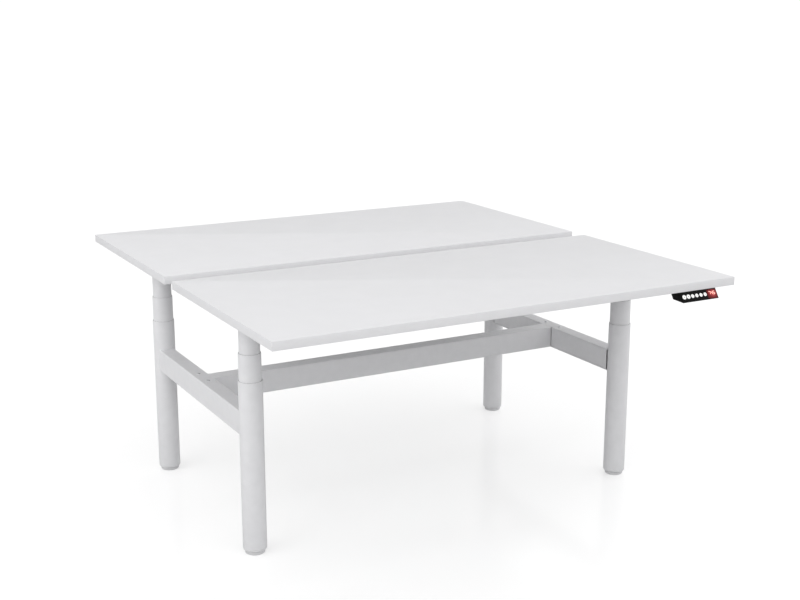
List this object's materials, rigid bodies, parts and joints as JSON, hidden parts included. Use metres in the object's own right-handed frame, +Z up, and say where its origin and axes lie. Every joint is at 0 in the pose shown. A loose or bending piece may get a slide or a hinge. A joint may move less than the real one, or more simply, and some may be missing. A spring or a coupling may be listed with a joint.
{
  "type": "electric standing desk",
  "caption": "Back-to-back electric sit-stand bench desk: paired tops on round telescopic columns, end rails and a centre cable beam.",
  "frame": {"origin": "middle of the footprint, on the floor under the gap between the tops", "axes": "+X to the right along the front edge, +Y from the front desk to the rear desk, +Z up"},
  "size_m": [1.5, 1.607, 0.745],
  "materials": {
    "frame_paint": "light grey powder coat, satin",
    "top_board": "white melamine on chipboard, matt",
    "glide_plastic": "grey moulded plastic",
    "guide_plastic": "grey sliding plastic",
    "steel": "bright steel",
    "screw_zinc": "zinc plated",
    "motor_black": "black enamel",
    "black_plastic": "fine moulded grain",
    "button_white": "smooth, printed symbols",
    "display_red": "red window, lit from behind"
  },
  "bodies": {
    "frame": {"outer_tube_fl": "frame_paint", "outer_tube_fr": "frame_paint", "outer_tube_rl": "frame_paint", "outer_tube_rr": "frame_paint", "end_rail_left": "frame_paint", "end_rail_right": "frame_paint", "foot_caps": "frame_paint", "base_screws": "steel", "outer_guides": "guide_plastic", "rail_covers": "frame_paint", "centre_beam": "frame_paint", "beam_lid": "frame_paint", "beam_brackets": "steel", "frame_screws": "screw_zinc"},
    "desk_front": {"inner_tube_fl": "frame_paint", "inner_tube_fr": "frame_paint", "tabletop_front": "top_board", "underframe_front": "frame_paint", "motors_front": "motor_black", "control_box_front": "black_plastic", "handset_case_front": "black_plastic", "display_front": "display_red", "desk_screws_front": "screw_zinc"},
    "desk_rear": {"inner_tube_rl": "frame_paint", "inner_tube_rr": "frame_paint", "tabletop_rear": "top_board", "underframe_rear": "frame_paint", "motors_rear": "motor_black", "control_box_rear": "black_plastic", "handset_case_rear": "black_plastic", "display_rear": "display_red", "desk_screws_rear": "screw_zinc"},
    "mid_fl": {"mid_tube_fl": "frame_paint"},
    "screw_fl": {"screw_tube_fl": "steel"},
    "rod_fl": {"drive_rod_fl": "steel"},
    "foot_fl": {"glide_fl": "glide_plastic"},
    "mid_fr": {"mid_tube_fr": "frame_paint"},
    "screw_fr": {"screw_tube_fr": "steel"},
    "rod_fr": {"drive_rod_fr": "steel"},
    "foot_fr": {"glide_fr": "glide_plastic"},
    "mid_rl": {"mid_tube_rl": "frame_paint"},
    "screw_rl": {"screw_tube_rl": "steel"},
    "rod_rl": {"drive_rod_rl": "steel"},
    "foot_rl": {"glide_rl": "glide_plastic"},
    "mid_rr": {"mid_tube_rr": "frame_paint"},
    "screw_rr": {"screw_tube_rr": "steel"},
    "rod_rr": {"drive_rod_rr": "steel"},
    "foot_rr": {"glide_rr": "glide_plastic"},
    "key_up_front": {"button_up_front": "button_white"},
    "key_down_front": {"button_down_front": "button_white"},
    "key_1_front": {"button_1_front": "button_white"},
    "key_2_front": {"button_2_front": "button_white"},
    "key_3_front": {"button_3_front": "button_white"},
    "key_4_front": {"button_4_front": "button_white"},
    "key_up_rear": {"button_up_rear": "button_white"},
    "key_down_rear": {"button_down_rear": "button_white"},
    "key_1_rear": {"button_1_rear": "button_white"},
    "key_2_rear": {"button_2_rear": "button_white"},
    "key_3_rear": {"button_3_rear": "button_white"},
    "key_4_rear": {"button_4_rear": "button_white"}
  },
  "joints": [
    {"name": "front_lift", "type": "slide", "parent": "frame", "child": "desk_front", "axis": [0, 0, 1], "range_m": [-0.14, 0.51]},
    {"name": "rear_lift", "type": "slide", "parent": "frame", "child": "desk_rear", "axis": [0, 0, 1], "range_m": [-0.14, 0.51]},
    {"name": "mid_slide_fl", "type": "slide", "parent": "frame", "child": "mid_fl", "axis": [0, 0, 1], "range_m": [-0.07, 0.255]},
    {"name": "screw_turn_fl", "type": "hinge", "parent": "mid_fl", "child": "screw_fl", "pos_m": [-0.648, -0.378, 0.3], "axis": [0, 0, 1], "range_deg": [-1270, 4600]},
    {"name": "rod_turn_fl", "type": "hinge", "parent": "desk_front", "child": "rod_fl", "pos_m": [-0.648, -0.378, 0.3], "axis": [0, 0, 1], "range_deg": [-1270, 4600]},
    {"name": "glide_level_fl", "type": "slide", "parent": "frame", "child": "foot_fl", "axis": [0, 0, -1], "range_m": [0, 0.015]},
    {"name": "mid_slide_fr", "type": "slide", "parent": "frame", "child": "mid_fr", "axis": [0, 0, 1], "range_m": [-0.07, 0.255]},
    {"name": "screw_turn_fr", "type": "hinge", "parent": "mid_fr", "child": "screw_fr", "pos_m": [0.648, -0.378, 0.3], "axis": [0, 0, 1], "range_deg": [-1270, 4600]},
    {"name": "rod_turn_fr", "type": "hinge", "parent": "desk_front", "child": "rod_fr", "pos_m": [0.648, -0.378, 0.3], "axis": [0, 0, 1], "range_deg": [-1270, 4600]},
    {"name": "glide_level_fr", "type": "slide", "parent": "frame", "child": "foot_fr", "axis": [0, 0, -1], "range_m": [0, 0.015]},
    {"name": "mid_slide_rl", "type": "slide", "parent": "frame", "child": "mid_rl", "axis": [0, 0, 1], "range_m": [-0.07, 0.255]},
    {"name": "screw_turn_rl", "type": "hinge", "parent": "mid_rl", "child": "screw_rl", "pos_m": [-0.648, 0.378, 0.3], "axis": [0, 0, 1], "range_deg": [-1270, 4600]},
    {"name": "rod_turn_rl", "type": "hinge", "parent": "desk_rear", "child": "rod_rl", "pos_m": [-0.648, 0.378, 0.3], "axis": [0, 0, 1], "range_deg": [-1270, 4600]},
    {"name": "glide_level_rl", "type": "slide", "parent": "frame", "child": "foot_rl", "axis": [0, 0, -1], "range_m": [0, 0.015]},
    {"name": "mid_slide_rr", "type": "slide", "parent": "frame", "child": "mid_rr", "axis": [0, 0, 1], "range_m": [-0.07, 0.255]},
    {"name": "screw_turn_rr", "type": "hinge", "parent": "mid_rr", "child": "screw_rr", "pos_m": [0.648, 0.378, 0.3], "axis": [0, 0, 1], "range_deg": [-1270, 4600]},
    {"name": "rod_turn_rr", "type": "hinge", "parent": "desk_rear", "child": "rod_rr", "pos_m": [0.648, 0.378, 0.3], "axis": [0, 0, 1], "range_deg": [-1270, 4600]},
    {"name": "glide_level_rr", "type": "slide", "parent": "frame", "child": "foot_rr", "axis": [0, 0, -1], "range_m": [0, 0.015]},
    {"name": "press_up_front", "type": "slide", "parent": "desk_front", "child": "key_up_front", "axis": [0, 0.8148, -0.5798], "range_m": [0, 0.001], "stiffness_N_per_m": 1500, "springref_m": -0.0003},
    {"name": "press_down_front", "type": "slide", "parent": "desk_front", "child": "key_down_front", "axis": [0, 0.8148, -0.5798], "range_m": [0, 0.001], "stiffness_N_per_m": 1500, "springref_m": -0.0003},
    {"name": "press_1_front", "type": "slide", "parent": "desk_front", "child": "key_1_front", "axis": [0, 0.8148, -0.5798], "range_m": [0, 0.001], "stiffness_N_per_m": 1500, "springref_m": -0.0003},
    {"name": "press_2_front", "type": "slide", "parent": "desk_front", "child": "key_2_front", "axis": [0, 0.8148, -0.5798], "range_m": [0, 0.001], "stiffness_N_per_m": 1500, "springref_m": -0.0003},
    {"name": "press_3_front", "type": "slide", "parent": "desk_front", "child": "key_3_front", "axis": [0, 0.8148, -0.5798], "range_m": [0, 0.001], "stiffness_N_per_m": 1500, "springref_m": -0.0003},
    {"name": "press_4_front", "type": "slide", "parent": "desk_front", "child": "key_4_front", "axis": [0, 0.8148, -0.5798], "range_m": [0, 0.001], "stiffness_N_per_m": 1500, "springref_m": -0.0003},
    {"name": "press_up_rear", "type": "slide", "parent": "desk_rear", "child": "key_up_rear", "axis": [0, -0.8148, -0.5798], "range_m": [0, 0.001], "stiffness_N_per_m": 1500, "springref_m": -0.0003},
    {"name": "press_down_rear", "type": "slide", "parent": "desk_rear", "child": "key_down_rear", "axis": [0, -0.8148, -0.5798], "range_m": [0, 0.001], "stiffness_N_per_m": 1500, "springref_m": -0.0003},
    {"name": "press_1_rear", "type": "slide", "parent": "desk_rear", "child": "key_1_rear", "axis": [0, -0.8148, -0.5798], "range_m": [0, 0.001], "stiffness_N_per_m": 1500, "springref_m": -0.0003},
    {"name": "press_2_rear", "type": "slide", "parent": "desk_rear", "child": "key_2_rear", "axis": [0, -0.8148, -0.5798], "range_m": [0, 0.001], "stiffness_N_per_m": 1500, "springref_m": -0.0003},
    {"name": "press_3_rear", "type": "slide", "parent": "desk_rear", "child": "key_3_rear", "axis": [0, -0.8148, -0.5798], "range_m": [0, 0.001], "stiffness_N_per_m": 1500, "springref_m": -0.0003},
    {"name": "press_4_rear", "type": "slide", "parent": "desk_rear", "child": "key_4_rear", "axis": [0, -0.8148, -0.5798], "range_m": [0, 0.001], "stiffness_N_per_m": 1500, "springref_m": -0.0003}
  ],
  "couplings": [
    {"joint": "mid_slide_fl", "follows": "front_lift", "ratio": 0.5},
    {"joint": "screw_turn_fl", "follows": "front_lift", "rad_per_m": 157.08},
    {"joint": "rod_turn_fl", "follows": "front_lift", "rad_per_m": 157.08},
    {"joint": "mid_slide_fr", "follows": "front_lift", "ratio": 0.5},
    {"joint": "screw_turn_fr", "follows": "front_lift", "rad_per_m": 157.08},
    {"joint": "rod_turn_fr", "follows": "front_lift", "rad_per_m": 157.08},
    {"joint": "mid_slide_rl", "follows": "rear_lift", "ratio": 0.5},
    {"joint": "screw_turn_rl", "follows": "rear_lift", "rad_per_m": 157.08},
    {"joint": "rod_turn_rl", "follows": "rear_lift", "rad_per_m": 157.08},
    {"joint": "mid_slide_rr", "follows": "rear_lift", "ratio": 0.5},
    {"joint": "screw_turn_rr", "follows": "rear_lift", "rad_per_m": 157.08},
    {"joint": "rod_turn_rr", "follows": "rear_lift", "rad_per_m": 157.08}
  ]
}
